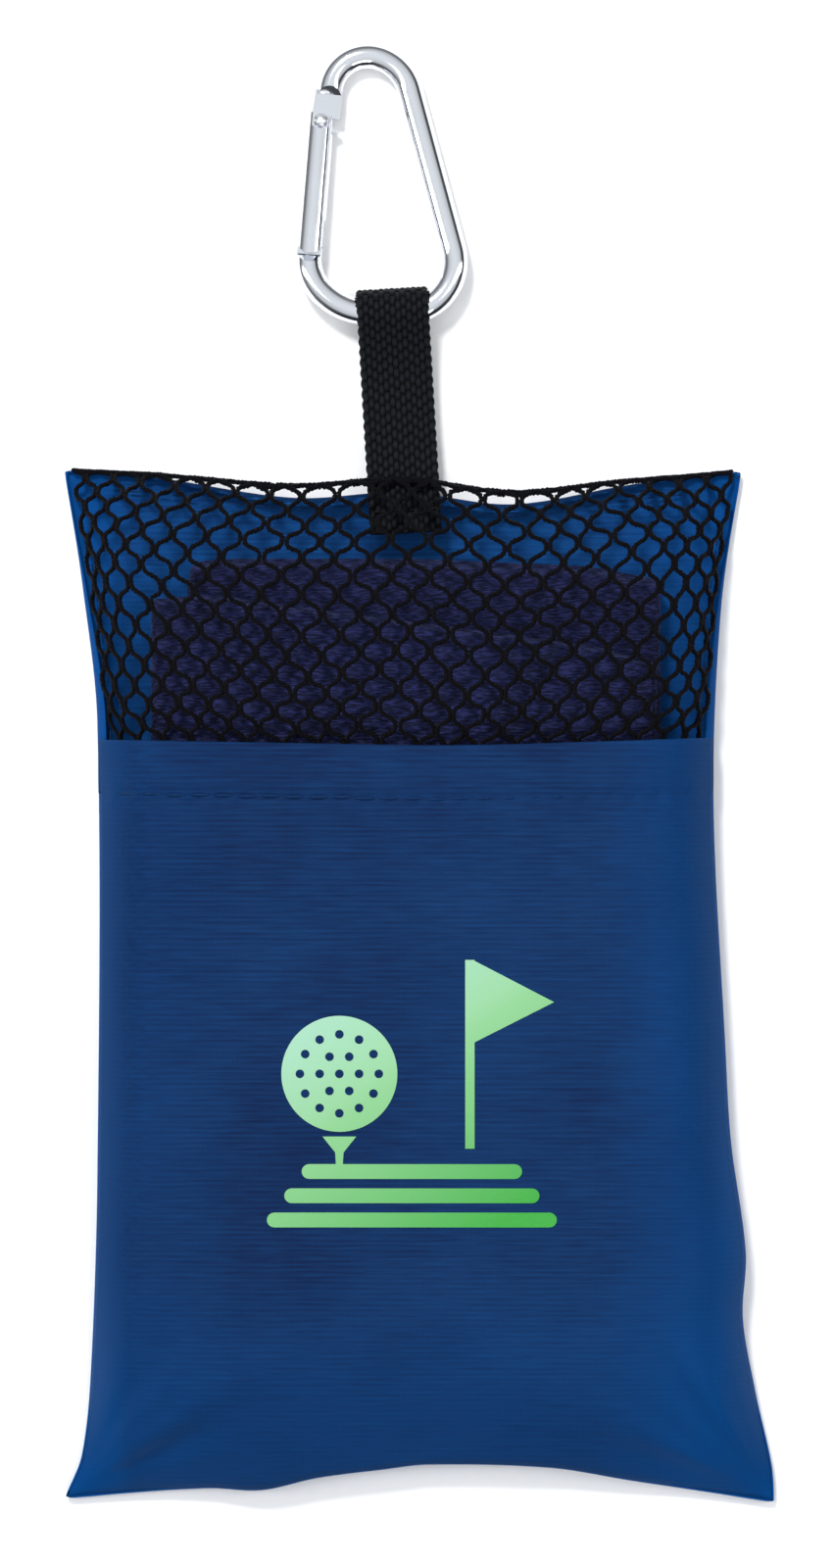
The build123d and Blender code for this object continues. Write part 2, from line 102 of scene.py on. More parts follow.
def thicken(piece, thickness, offset=-1.0):
    """Gives a sheet its cloth thickness, measured in millimetres."""
    solid = piece.modifiers.new("Cloth thickness", "SOLIDIFY")
    solid.thickness = thickness * MM
    solid.offset = offset


def through(points, value):
    """A smooth curve through a few (position, value) points."""
    last = len(points) - 1
    value = min(max(value, points[0][0]), points[last][0])
    i = max(k for k in range(last) if points[k][0] <= value)
    (a, fa), (b, fb) = points[i], points[i + 1]
    before, after = points[max(i - 1, 0)], points[min(i + 2, last)]
    slope_a = (fb - before[1]) / (b - before[0])
    slope_b = (after[1] - fa) / (after[0] - a)
    span = b - a
    u = (value - a) / span
    start = fa * (2 * u**3 - 3 * u**2 + 1) + slope_a * span * (u**3 - 2 * u**2 + u)
    return start + fb * (3 * u**2 - 2 * u**3) + slope_b * span * (u**3 - u**2)


def blend_in(value, low, high):
    """0 below low, 1 above high, with a soft S between them."""
    u = min(max((value - low) / (high - low), 0), 1)
    return u * u * (3 - 2 * u)


# %% [markdown]
# Shader maths reads best as plain expressions. This small class wraps a node socket, so that
# `1 - mask * 0.5` adds the Math nodes by itself. Every other node comes from one method.


# %% A socket that can be added and multiplied
class Value:
    def __init__(self, tree, socket):
        self.tree = tree
        self.socket = socket

    def math(self, operation, *others, swap=False):
        node = self.tree.nodes.new("ShaderNodeMath")
        node.operation = operation
        inputs = [self, *others]
        if swap:
            inputs.reverse()
        for slot, value in zip(node.inputs, inputs):
            if isinstance(value, Value):
                self.tree.links.new(value.socket, slot)
            else:
                slot.default_value = value
        return Value(self.tree, node.outputs[0])

    def __add__(self, other):
        return self.math("ADD", other)

    def __radd__(self, other):
        return self.math("ADD", other)

    def __sub__(self, other):
        return self.math("SUBTRACT", other)

    def __rsub__(self, other):
        return self.math("SUBTRACT", other, swap=True)

    def __mul__(self, other):
        return self.math("MULTIPLY", other)

    def __rmul__(self, other):
        return self.math("MULTIPLY", other)

    def __truediv__(self, other):
        return self.math("DIVIDE", other)

    def __pow__(self, other):
        return self.math("POWER", other)

    def sine(self):
        return self.math("SINE")

    def absolute(self):
        return self.math("ABSOLUTE")

    def clamp(self):
        return self.math("MAXIMUM", 0.0).math("MINIMUM", 1.0)


class Nodes:
    """A node tree in which every node that isn't plain maths is made by one method."""

    def __init__(self, tree):
        self.tree = tree

    def node(self, kind, settings=None, output=0, numbered=None, **named):
        """Adds a node: its settings first, then the values or links of its sockets."""
        node = self.tree.nodes.new("ShaderNode" + kind)
        for key, value in (settings or {}).items():
            setattr(node, key, value)
        inputs = {key.replace("_", " "): value for key, value in named.items()}
        inputs.update(numbered or {})
        for key, value in inputs.items():
            if isinstance(value, Value):
                self.tree.links.new(value.socket, node.inputs[key])
            else:
                node.inputs[key].default_value = value
        return Value(self.tree, node.outputs[output])

    def axes(self, vector):
        parts = self.node("SeparateXYZ", Vector=vector)
        outputs = parts.socket.node.outputs
        return [Value(self.tree, outputs[i]) for i in range(3)]


class Finish(Nodes):
    """A material with a Principled shader."""

    def __init__(self, name, **constants):
        self.material = bpy.data.materials.new(name)
        self.material.use_nodes = True
        super().__init__(self.material.node_tree)
        self.tree.nodes.clear()
        self.shader = self.tree.nodes.new("ShaderNodeBsdfPrincipled")
        output = self.tree.nodes.new("ShaderNodeOutputMaterial")
        self.tree.links.new(self.shader.outputs[0], output.inputs[0])
        for key, value in constants.items():
            self.shader.inputs[key.replace("_", " ")].default_value = value

    def place(self):
        """Object coordinates, which keep a pattern's real size."""
        return self.node("TexCoord", output=3)

    def noise(self, vector, scale, detail=3.0, rough=0.5):
        return self.node("TexNoise", Vector=vector, Scale=scale, Detail=detail, Roughness=rough)

    def mix(self, factor, first, second):
        return self.node("Mix", {"data_type": "RGBA"}, 2, {0: factor, 6: first, 7: second})

    def bump(self, height, distance, strength=1.0):
        return self.node("Bump", Height=height, Distance=distance, Strength=strength)

    def set(self, **links):
        for key, value in links.items():
            self.tree.links.new(value.socket, self.shader.inputs[key.replace("_", " ")])
        return self.material


def srgb(red, green, blue):
    """An everyday 0 to 255 colour as the linear one that shaders use."""
    def linear(v):
        v /= 255
        return v / 12.92 if v < 0.04045 else ((v + 0.055) / 1.055) ** 2.4
    return (linear(red), linear(green), linear(blue), 1.0)


# %% [markdown]
# ## Finishes
# The pouch is a light woven polyester: fine ribs run across it and the colour shifts a little from
# place to place. Painted light makes it a clearer, brighter blue along the sides and the closed
# end, most on the right side. All patterns use object coordinates, so they keep their real size in
# metres on every piece.

# %% Woven polyester
RIB_PITCH = 1.15 * MM
YARN_PITCH = 0.52 * MM
SIDE_LIGHT_FROM = 38 * MM
RIM_LIGHT_FROM = 62 * MM
END_LIGHT_FROM = 105 * MM
TURN = 2 * math.pi


# The third colour is painted light: the clearer, brighter blue given to the edges of the cloth.
def woven_cloth(name, deep, bright, side, gap_light):
    cloth = Finish(name, Specular_IOR_Level=0.05, Sheen_Weight=0.04, Sheen_Roughness=0.4,
                   Sheen_Tint=(0.1, 0.5, 1.0, 1.0))
    place = cloth.place()
    x, y, _ = cloth.axes(place)
    wander = cloth.noise(place, 90.0, 2.0) * 1.6
    ribs = (y * (TURN / RIB_PITCH) + wander).sine()
    yarns = (x * (TURN / YARN_PITCH) + wander).sine()
    weave = ribs * 0.6 + yarns * 0.4
    # Painted light: bright dots in a grid at the weave's pitch, as if light showed through the gaps between
    # yarns; the last argument sets how strong they are.
    gap_light_dots = (ribs * yarns - 0.25).clamp()
    slubs = cloth.noise(cloth.node("Mapping", Vector=place, Scale=(0.12, 2.2, 1.0)), 900.0, 3.0)
    clouds = cloth.noise(place, 22.0, 4.0, 0.6)
    tone = (0.5 + (clouds - 0.5) * 1.1 + (slubs - 0.5) + weave * 0.16 + gap_light_dots * gap_light).clamp()
    # Painted light: the colour turns brighter toward the sides (more on the right), the rim and the closed
    # end.
    side_light = ((x.absolute() - SIDE_LIGHT_FROM) * 28.0).clamp()
    rim = ((x.absolute() - RIM_LIGHT_FROM) * 120.0).clamp()
    end_light = ((y * -1.0 - END_LIGHT_FROM) * 11.0).clamp()
    painted_edge_light = (side_light * (0.55 + x * 5.0) + rim * 0.7 + end_light).clamp()
    colour = cloth.mix(painted_edge_light, cloth.mix(tone, deep, bright), side)
    height = weave * 0.5 + slubs * 0.8
    return cloth.set(Base_Color=colour, Roughness=0.55 + slubs * 0.22,
                     Normal=cloth.bump(height, 0.05 * MM, 0.5))


pouch_cloth = woven_cloth("Pouch polyester", srgb(8, 23, 57), srgb(16, 52, 97), srgb(1, 57, 112), 0.2)
# The inside is the same polyester with lighter blues and stronger dots: painted light, as if the inside face
# were lit more than the front.
painted_lit_inner_cloth = woven_cloth("Pouch polyester, inside, painted lighter", srgb(3, 30, 76), srgb(18, 76, 138),
                          srgb(2, 68, 134), 0.9)
print("made", pouch_cloth.name, "and", painted_lit_inner_cloth.name)


# %% Black net yarn and webbing yarn
def yarn(name, dark, light, strand, roughness, twist=9.0, gap_shade=None):
    fibre = Finish(name, Specular_IOR_Level=0.07, Sheen_Weight=0.02, Sheen_Roughness=0.35)
    place = fibre.place()
    x, y, z = fibre.axes(place)
    wander = fibre.noise(place, 350.0, 2.0) * twist
    hairs = ((x + y * 0.6 + z) * (TURN / strand) + wander).sine()
    dust = fibre.noise(place, 1500.0, 2.0)
    tone = (hairs * 0.3 + dust * 0.7).clamp()
    if gap_shade:
        # Painted shade: the colour darkens in the gaps between raised beads and stays lighter on their tops.
        tone = (tone * 0.45 + 0.55) * fibre.node("Attribute", {"attribute_name": gap_shade}, output=2) ** 2.6
    return fibre.set(Base_Color=fibre.mix(tone, dark, light), Roughness=roughness + dust * 0.2,
                     Normal=fibre.bump(hairs, 0.03 * MM, 0.6))


net_yarn = yarn("Net yarn", srgb(2, 2, 5), srgb(14, 14, 20), 0.16 * MM, 0.6)
webbing_yarn = yarn("Webbing yarn", srgb(0, 0, 0), srgb(29, 32, 39), 0.2 * MM, 0.42, 5.0, "bead")
black_thread = yarn("Black thread", srgb(10, 10, 12), srgb(34, 34, 38), 0.15 * MM, 0.5)
blue_thread = yarn("Blue thread", srgb(10, 36, 74), srgb(22, 62, 112), 0.15 * MM, 0.5)
print("made", net_yarn.name, "and", webbing_yarn.name)

# %% [markdown]
# The towel is a brushed microfibre knit. Up close it shows short sideways dashes, made here by a
# noise that is stretched along X, and a soft sheen from its loose fibres.

# %% Microfibre towelling
towelling = Finish("Microfibre towelling", Specular_IOR_Level=0.12, Sheen_Weight=0.14,
                   Sheen_Roughness=0.5, Sheen_Tint=(0.4, 0.5, 1.0, 1.0))
spot = towelling.place()
dashes = towelling.noise(towelling.node("Mapping", Vector=spot, Scale=(0.5, 2.4, 1.6)), 1100.0, 2.0)
patches = towelling.noise(spot, 60.0, 3.0)
loops = ((dashes - 0.42) * 5.0).clamp()
towel_tone = (loops * 0.75 + patches * 0.35).clamp()
towelling.set(Base_Color=towelling.mix(towel_tone, srgb(2, 3, 13), srgb(38, 42, 88)),
              Roughness=0.75 + dashes * 0.2, Normal=towelling.bump(loops, 0.25 * MM, 0.8))
print("made", towelling.material.name)

# %% [markdown]
# The hook is polished aluminium. It is nearly a mirror, so its look comes from the room, and only
# faint drawing marks and handling haze change its roughness.


# %% Metals
def metal(name, colour, roughness, haze, scratch):
    alloy = Finish(name, Base_Color=colour, Metallic=1.0)
    place = alloy.place()
    cloud = alloy.noise(place, 160.0, 3.0)
    marks = alloy.noise(alloy.node("Mapping", Vector=place, Scale=(8.0, 0.6, 8.0)), 900.0, 2.0)
    return alloy.set(Roughness=roughness + (cloud - 0.5) * haze + (marks - 0.5) * haze,
                     Normal=alloy.bump(marks, scratch * MM, 0.35))


polished = metal("Polished aluminium", (0.8, 0.82, 0.86, 1.0), 0.1, 0.08, 0.006)
satin = metal("Satin rivet aluminium", (0.74, 0.75, 0.78, 1.0), 0.33, 0.25, 0.04)
spring_wire = metal("Spring steel", (0.55, 0.55, 0.57, 1.0), 0.3, 0.1, 0.01)
print("made", polished.name, "and two duller metals")

# %% [markdown]
# The print is a thin heat transfer. Its colour runs corner to corner, from pale mint to grass
# green, so two mixes follow the slanted distance over the print's own area.

# %% Transfer print
print_low, print_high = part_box("printed_emblem")
print_middle = [(a + b) / 2 for a, b in zip(print_low, print_high)]
print_span = [b - a for a, b in zip(print_low, print_high)]
ink = Finish("Transfer print", Specular_IOR_Level=0.45, Coat_Weight=0.15, Coat_Roughness=0.3)
ink_x, ink_y, _ = ink.axes(ink.place())
slant = (ink_x - print_low[0]) / print_span[0] * 0.42 + (print_high[1] - ink_y) / print_span[1] * 0.58
upper_ink = ink.mix((slant * 2.2).clamp(), srgb(158, 198, 190), srgb(126, 182, 128))
full_ink = ink.mix(((slant - 0.4) * 2.0).clamp(), upper_ink, srgb(24, 146, 26))
ink_speckle = ink.noise(ink.place(), 1400.0, 2.0)
ink_colour = ink.mix(ink_speckle * 0.12, full_ink, srgb(120, 170, 130))
ink.set(Base_Color=ink_colour, Roughness=0.42 + ink_speckle * 0.15,
        Normal=ink.bump(ink_speckle, 0.02 * MM, 0.4))
print("print covers", [round(v / MM) for v in print_span[:2]], "mm")

# %% [markdown]
# ## Pouch
# Seen from above, the pouch is a rectangle that its stuffing has drawn in along the sides and
# ends, which leaves the corners standing out. A few named points give each edge.

# %% Outline of the pouch
LEFT_EDGE = [(-157, -76.2), (-148, -72.6), (-127, -70.4), (-87, -69.0), (10, -69.0), (40, -72.4), (65, -76.4)]
RIGHT_EDGE = [(-158, 76.4), (-150, 75.8), (-134, 72.2), (-118, 69.4), (-104, 70.0), (-80, 66.8), (-60, 65.6),
              (-5, 63.0), (35, 64.8), (65, 69.3)]
CLOSED_END = [(-77, -157.0), (-46, -154.6), (-34, -154.9), (-22, -152.2), (-8, -150.4), (2, -149.3),
              (28, -150.0), (46, -153.0), (77, -157.9)]
HOOK_END = [(-77, 64.6), (-58, 63.4), (-27, 59.9), (-3.5, 61.2), (20, 58.5), (45, 61.8), (70, 64.4)]
MOUTH = [(-70, 6.2), (-20, 5.3), (10, 5.0), (64, 6.6)]
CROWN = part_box("front_panel")[1][2] / MM - 0.4
SEAM_LOW = 2.2
SEAM_HIGH = 7.6
SIDE_SHOULDER = 15.0
CLOSED_SHOULDER = 34.0
HOOK_SHOULDER = 30.0
FLAT_CORNER = 4.0
FULL_FROM_CORNER = 58.0
EDGE_SMOOTH = 9.0
CORNERS = [(LEFT_EDGE[0][1], CLOSED_END[0][1]), (RIGHT_EDGE[0][1], CLOSED_END[-1][1]),
           (LEFT_EDGE[-1][1], HOOK_END[0][1]), (RIGHT_EDGE[-1][1], HOOK_END[-1][1])]
print("stuffed pouch reaches", round(CROWN, 1), "mm up, with its corners at", CORNERS)


def distances(x, y):
    """How far a point is from the left, right, closed and hook edges."""
    return (x - through(LEFT_EDGE, y), through(RIGHT_EDGE, y) - x,
            y - through(CLOSED_END, x), through(HOOK_END, x) - y)


def fullness(x, y):
    """0 at a corner and 1 where the stuffing holds the seam up."""
    nearest = min(math.hypot(x - cx, y - cy) for cx, cy in CORNERS)
    return blend_in(nearest, FLAT_CORNER, FULL_FROM_CORNER)


def rounded(distance, width, power=2.6):
    return 1 - max(1 - max(distance, 0) / width, 0) ** power


CREASE_REACH = 75.0
CREASE_MIDDLE = 24.0
CREASE_SPREAD = 20.0
CREASES = [(0.75, 11, 1.9), (0.35, 23, 2.7)]  # how tall, how many, and each corner's shift


def corner_creases(x, y):
    """Soft folds that fan out from each pulled corner."""
    height = 0
    for index, (cx, cy) in enumerate(CORNERS):
        dx, dy = x - cx, y - cy
        reach = math.hypot(dx, dy)
        if reach < CREASE_REACH:
            angle = math.atan2(abs(dy), abs(dx))
            fade = math.exp(-((reach - CREASE_MIDDLE) / CREASE_SPREAD) ** 2)
            for tall, folds, shift in CREASES:
                height += tall * fade * math.sin(angle * folds + shift * index)
    return height


def cloth_waves(x, y):
    """The slack of the cloth: long low swells and a few finer ones."""
    swell = noise.noise(Vector((x * 0.016, y * 0.02, 3.1))) * 0.9
    fine = noise.noise(Vector((x * 0.05, y * 0.075, 8.4))) * 0.32
    return swell + fine


def skin_height(x, y, crown, hook_power=2.6):
    left, right, closed, hook = distances(x, y)
    seam = SEAM_LOW + (SEAM_HIGH - SEAM_LOW) * fullness(x, y)
    rise = rounded(left, SIDE_SHOULDER) * rounded(right, SIDE_SHOULDER)
    rise *= rounded(closed, CLOSED_SHOULDER, 2.2) * rounded(hook, HOOK_SHOULDER, hook_power)
    waves = (cloth_waves(x, y) - 0.6) * rise ** 2
    edge_fade = blend_in(min(left, right, closed, hook), 0, EDGE_SMOOTH)
    return seam + (crown - seam) * rise + waves + corner_creases(x, y) * edge_fade


# %% [markdown]
# ### Front panel
# The front is one woven sheet from the closed end up to the mouth, where it turns under and comes
# back 11 mm to make the hem. A grid gives the sheet, each point is moved to its place on the
# stuffed shape, and the last rows go round the fold and back under the first layer.

# %% Front panel with its folded hem
HEM_DEPTH = 11.0
HEM_GAP = 0.9
STITCH_PITCH = 5.2
FRONT_ACROSS = 150
FRONT_ROWS = 132
FOLD_ROWS = 6
UNDER_ROWS = 10
FRONT_CLOTH = 0.35
GROOVE_DEPTH = 0.5
GROOVE_HALF = 0.9
PUCKER_HEIGHT = 0.16
PUCKER_HALF = 3.2
HEM_STEP = 0.35


def hem_pull(x, y):
    """The stitch line draws the two layers together, most at each needle hole."""
    from_line = y - (through(MOUTH, x) - HEM_DEPTH)
    hole = 0.55 + 0.45 * math.cos(x * TURN / STITCH_PITCH)
    groove = -GROOVE_DEPTH * hole * math.exp(-(from_line / GROOVE_HALF) ** 2)
    pucker = PUCKER_HEIGHT * math.sin(x * TURN / STITCH_PITCH) * math.exp(-(from_line / PUCKER_HALF) ** 2)
    band = HEM_STEP * blend_in(from_line, -1.5, 1.5)
    return groove + pucker + band


def front_surface(x, y):
    return skin_height(x, y, CROWN) + hem_pull(x, y)


def sheet_point(s, t, low_line, high_line, inset=0.0):
    """A place on the pouch from fractions across and along it."""
    x = (1 - s) * through(LEFT_EDGE, 0) + s * through(RIGHT_EDGE, 0)
    y = (1 - t) * through(low_line, x) + t * through(high_line, x)
    for _ in range(2):
        x = (1 - s) * (through(LEFT_EDGE, y) + inset) + s * (through(RIGHT_EDGE, y) - inset)
        y = (1 - t) * through(low_line, x) + t * through(high_line, x)
    return x, y


def crowded(u):
    """Moves evenly spaced fractions nearer to both ends, where the cloth bends most."""
    return 0.45 * u + 0.55 * (1 - math.cos(math.pi * u)) / 2


def front_place(s, row):
    s = crowded(s)
    x, y = sheet_point(s, min(row / FRONT_ROWS, 1), CLOSED_END, MOUTH)
    z = front_surface(x, y)
    past = row - FRONT_ROWS
    if past > 0:
        turn = min(past / FOLD_ROWS, 1) * math.pi
        y += HEM_GAP / 2 * math.sin(turn)
        z -= HEM_GAP / 2 * (1 - math.cos(turn))
    if past > FOLD_ROWS:
        y -= (past - FOLD_ROWS) / UNDER_ROWS * HEM_DEPTH
        z = front_surface(x, y) - HEM_GAP
    return x, y, z


bm = bmesh.new()
rows = FRONT_ROWS + FOLD_ROWS + UNDER_ROWS
bmesh.ops.create_grid(bm, x_segments=FRONT_ACROSS, y_segments=rows, size=1.0)
for vertex in bm.verts:
    vertex.co = front_place((vertex.co.x + 1) / 2, (vertex.co.y + 1) / 2 * rows)
front_panel = make_piece("front_panel_cloth", bm, "pouch", pouch_cloth, ("front_panel",))
thicken(front_panel, FRONT_CLOTH)

# %% [markdown]
# ### Back panel
# The back lies flat on the table and curls up all round to meet the seam. In plan it bulges a
# little past the seam, which is why a blue margin shows outside the net. Here a square ring
# number tells how near the rim a grid point is, and a short profile turns it into a curl.

# %% Back panel with its curled rim
RIM_SHARE = 0.2
BACK_ACROSS = 120
BACK_ALONG = 170
BACK_CLOTH = 0.35
RIM_INSET = [(0.0, 1.7), (0.18, 0.35), (0.38, 0.0), (0.7, 3.2), (1.0, 10.0)]
RIM_RISE = [(0.0, 1.0), (0.18, 0.78), (0.38, 0.5), (0.7, 0.12), (1.0, 0.0)]
FLOOR = BACK_CLOTH + 0.05
WIDEST_CURL = 0.38
HOOK_SIDE_DROP = 3.2
HOOK_SIDE_INSET = 1.5
FLOOR_WAVES = 0.5


def back_place(a, b):
    ring = max(abs(a), abs(b))
    start = 1 - RIM_SHARE
    curl = max(min((1 - ring) / RIM_SHARE, 1), 0)
    scale = max(ring, start)
    a, b = a / scale, b / scale
    s, t = (a + 1) / 2, (b + 1) / 2
    x, y = sheet_point(s, t, CLOSED_END, HOOK_END)
    full = fullness(x, y)
    inset = through(RIM_INSET, curl) * (full if curl < WIDEST_CURL else 1)
    seam = SEAM_LOW + (SEAM_HIGH - SEAM_LOW) * full
    hook_side = blend_in(b, 0.86, 1.0)
    seam -= hook_side * HOOK_SIDE_DROP * full
    z = FLOOR + (seam - FLOOR) * through(RIM_RISE, curl)
    width = through(RIGHT_EDGE, y) - through(LEFT_EDGE, y)
    length = through(HOOK_END, x) - through(CLOSED_END, x)
    x -= a * inset * (width - 2 * inset) / width
    y -= b * (inset + hook_side * HOOK_SIDE_INSET * full) * (length - 2 * inset) / length
    lying = blend_in(curl, 0.5, 1.0)
    z += lying * abs(noise.noise(Vector((x * 0.03, y * 0.04, 5.0)))) * FLOOR_WAVES
    return x, y, z


bm = bmesh.new()
bmesh.ops.create_grid(bm, x_segments=BACK_ACROSS, y_segments=BACK_ALONG, size=1.0)
for vertex in bm.verts:
    vertex.co = back_place(vertex.co.x, vertex.co.y)
back_panel = make_piece("back_panel_cloth", bm, "pouch", painted_lit_inner_cloth, ("back_panel",))
thicken(back_panel, BACK_CLOTH)

# %% [markdown]
# ### Net
# The window is a warp-knitted net. Each yarn runs from the hem to the top seam in a zigzag and
# meets its left and right neighbours in turn, and where two yarns meet they lie side by side for
# a moment. That is what makes the round holes. First the surface is sampled, then the knit's flat
# pattern is laid over it by arc length, so the holes narrow by themselves where the net turns down.
# At the mouth the net dips below the front panel, and it ends 12 mm behind the hem.

# %% Surface that the net lies on
NET_CROWN = CROWN + 0.6
NET_DIP = 2.7
NET_TUCK = 12.0
NET_SAMPLES_ACROSS = 90
NET_SAMPLES_ALONG = 90
ROLL_SHARE = 0.08
ROLL_RADIUS = 1.7
ROLL_LIFT = 1.4
NET_FLOOR = 1.0
NET_UNDER = 0.7
NET_INWARD = 0.03


def net_surface(s, t):
    climb = min(t / (1 - ROLL_SHARE), 1)
    low = [(x, y - NET_TUCK) for x, y in MOUTH]
    x, y = sheet_point(s, climb, low, HOOK_END, 1.3)
    tucked = 1 - blend_in(y - through(MOUTH, x), -0.5, 9)
    z = skin_height(x, y, NET_CROWN - NET_DIP * tucked) - NET_UNDER * tucked
    x -= x * NET_INWARD * tucked
    z += ROLL_LIFT * math.exp((y - through(HOOK_END, x)) / 5) * fullness(x, y)
    if t > 1 - ROLL_SHARE:
        turn = (t - 1 + ROLL_SHARE) / ROLL_SHARE * math.pi * 1.2
        radius = ROLL_RADIUS * (0.25 + 0.75 * fullness(x, y))
        y += radius * math.sin(turn)
        z = max(z - radius * (1 - math.cos(turn)), NET_FLOOR)
    return x, y, z


net_table = np.array([[net_surface(i / NET_SAMPLES_ACROSS, j / NET_SAMPLES_ALONG)
                       for i in range(NET_SAMPLES_ACROSS + 1)] for j in range(NET_SAMPLES_ALONG + 1)])
steps_across = np.linalg.norm(np.diff(net_table, axis=1), axis=2)
arc_across = np.concatenate([np.zeros((NET_SAMPLES_ALONG + 1, 1)), np.cumsum(steps_across, axis=1)], axis=1)
middle_column = net_table[:, NET_SAMPLES_ACROSS // 2]
arc_along = np.concatenate([[0], np.cumsum(np.linalg.norm(np.diff(middle_column, axis=0), axis=1))])
net_width = float(arc_across[:, -1].mean())
net_length = float(arc_along[-1])
print("net lies over", round(net_width), "by", round(net_length), "mm")


def on_net(u, v):
    """The point of the net's surface at fractions of its arc length across and along."""
    u, v = min(max(u, 0), 1), min(max(v, 0), 1)
    row = float(np.interp(v * net_length, arc_along, np.arange(len(arc_along))))
    low = min(int(row), NET_SAMPLES_ALONG - 1)
    places = []
    for r in (low, low + 1):
        column = float(np.interp(u * arc_across[r, -1], arc_across[r], np.arange(NET_SAMPLES_ACROSS + 1)))
        c = min(int(column), NET_SAMPLES_ACROSS - 1)
        places.append(net_table[r, c] * (1 - column + c) + net_table[r, c + 1] * (column - c))
    return Vector(places[0] * (1 - row + low) + places[1] * (row - low))


# %% Yarns of the net
HOLE_PITCH = 7.7
ROW_PITCH = 4.15
YARN_APART = 0.42
JOIN_LENGTH = 2.8
FILAMENT = 0.32
FILAMENT_APART = 0.33
FILAMENTS = 3
TWIST_LENGTH = 3.4
SAMPLE_STEP = 0.9
CROWDING = 0.2


def net_yarn_path(index, rows_count):
    """Flat route of one yarn: side by side with a neighbour at each row, slanting between."""
    route = []
    for row in range(rows_count + 1):
        shift = (row + index) % 2
        column = index + shift
        side = 1 if shift == 0 else -1
        x = column * HOLE_PITCH / 2 + side * YARN_APART
        y = row * ROW_PITCH
        wobble = noise.noise(Vector((x * 0.08, y * 0.08, 2.0)))
        lean = noise.noise(Vector((x * 0.05, y * 0.05, 9.0)))
        for end in (-0.5, 0.5):
            route.append((x + wobble * 1.5, y + end * JOIN_LENGTH + lean * 1.4))
    return route


def resample(route, step):
    """Evenly spaced points along a route, with its corners rounded a little."""
    points = np.array(route, float)
    lengths = np.concatenate([[0], np.cumsum(np.linalg.norm(np.diff(points, axis=0), axis=1))])
    count = int(lengths[-1] / step)
    at = np.linspace(0, lengths[-1], count + 1)
    even = np.stack([np.interp(at, lengths, points[:, k]) for k in range(2)], axis=1)
    even[1:-1] = even[1:-1] * 0.5 + (even[:-2] + even[2:]) * 0.25
    return even, at


columns = int(round(net_width / (HOLE_PITCH / 2) * (1 + CROWDING * (math.pi / 2 - 1))))
rows_count = int(net_length / ROW_PITCH)
net_curve = bpy.data.curves.new("net", "CURVE")
net_curve.dimensions = "3D"
net_curve.bevel_depth = FILAMENT * MM
net_curve.bevel_resolution = 0
net_curve.use_fill_caps = True


def crowded_share(share):
    """Draws the yarns closer together toward both sides, where the net is gathered by its seams."""
    return share * (1 - CROWDING) + CROWDING * (0.5 - 0.5 * math.cos(math.pi * min(max(share, 0), 1)))


def lay_yarn(flat, along_route, index):
    """Lays one yarn on the net's surface as a few filaments twisted round each other."""
    places = [on_net(crowded_share(x / (columns * HOLE_PITCH / 2)), y / net_length) for x, y in flat]
    for strand in range(FILAMENTS):
        spline = net_curve.splines.new("POLY")
        spline.points.add(len(places) - 1)
        start_turn = TURN * (strand / FILAMENTS + index * 0.37)
        for k, place in enumerate(places):
            ahead = places[min(k + 1, len(places) - 1)] - places[max(k - 1, 0)]
            across = ahead.cross(Vector((0, 0, 1)))
            across = across.normalized() if across.length > 1e-6 else Vector((1, 0, 0))
            above = across.cross(ahead).normalized()
            turn = start_turn + TURN * along_route[k] / TWIST_LENGTH
            offset = across * math.cos(turn) + above * math.sin(turn)
            spread = FILAMENT_APART * (1 + 0.4 * noise.noise(place * 0.9))
            spline.points[k].co = (*((place + offset * spread) * MM), 1)


for index in range(columns):
    lay_yarn(*resample(net_yarn_path(index, rows_count), SAMPLE_STEP), index)

# %% [markdown]
# Along the hook end the net is folded over the seam. Two edge yarns wave along the fold there in
# opposite steps, and close the open ends of the zigzags into a chain of small loops.

# %% Edge yarns of the net
EDGE_BEFORE_END = 4.4
EDGE_WAVE = 0.85
for index, side in enumerate((-1, 1)):
    edge_route = []
    for x in np.arange(0, columns * HOLE_PITCH / 2, 0.8):
        drift = noise.noise(Vector((x * 0.13, index * 7.0, 1.0)))
        wave = side * EDGE_WAVE * math.sin(x * TURN / HOLE_PITCH + 2.0 * drift)
        edge_route.append((x, net_length - EDGE_BEFORE_END + wave + drift))
    lay_yarn(*resample(edge_route, SAMPLE_STEP), index + 0.5)
net_object = bpy.data.objects.new("net curve", net_curve)
net_mesh = bpy.data.meshes.new_from_object(net_object)
bpy.data.objects.remove(net_object)
bm = bmesh.new()
bm.from_mesh(net_mesh)
bmesh.ops.scale(bm, vec=(1 / MM, 1 / MM, 1 / MM), verts=bm.verts)
net_panel = make_piece("mesh_panel_net", bm, "pouch", net_yarn, ("mesh_panel",))

# %% [markdown]
# ## Towel
# The towel is folded in half along its length, and then back and forth into a stack. A closed
# U-shaped section is carried along a serpentine path, so the whole stack is one sheet: round folds
# at both sides, and a fold at the top of every layer.

# %% Folded towel
towel_low, towel_high = (tuple(v / MM for v in corner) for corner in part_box("towel"))
PASSES = 7
PLY = 1.12
PLY_PITCH = (towel_high[2] - towel_low[2]) / (2 * PASSES)
LAYER = 2 * PLY_PITCH
UNDER_PASSES = 4
TURN_STEPS = 8
PASS_STEPS = 26
UNDER_LEFT = -47.5
OVER_LEFT = -55.5
ALL_RIGHT = 49.2
FOLD_STEPS = 6
PLY_ROWS = 30
TOWEL_LENGTH = 166.0
TOWEL_TOP_UNDER = 44.6
TOWEL_TOP_OVER = 38.2
OVER_SLANT = 13.6 / 103
TOWEL_BOTTOM = towel_low[1] + 1.0
MIDDLE_HEIGHT = towel_low[2] + 8.5


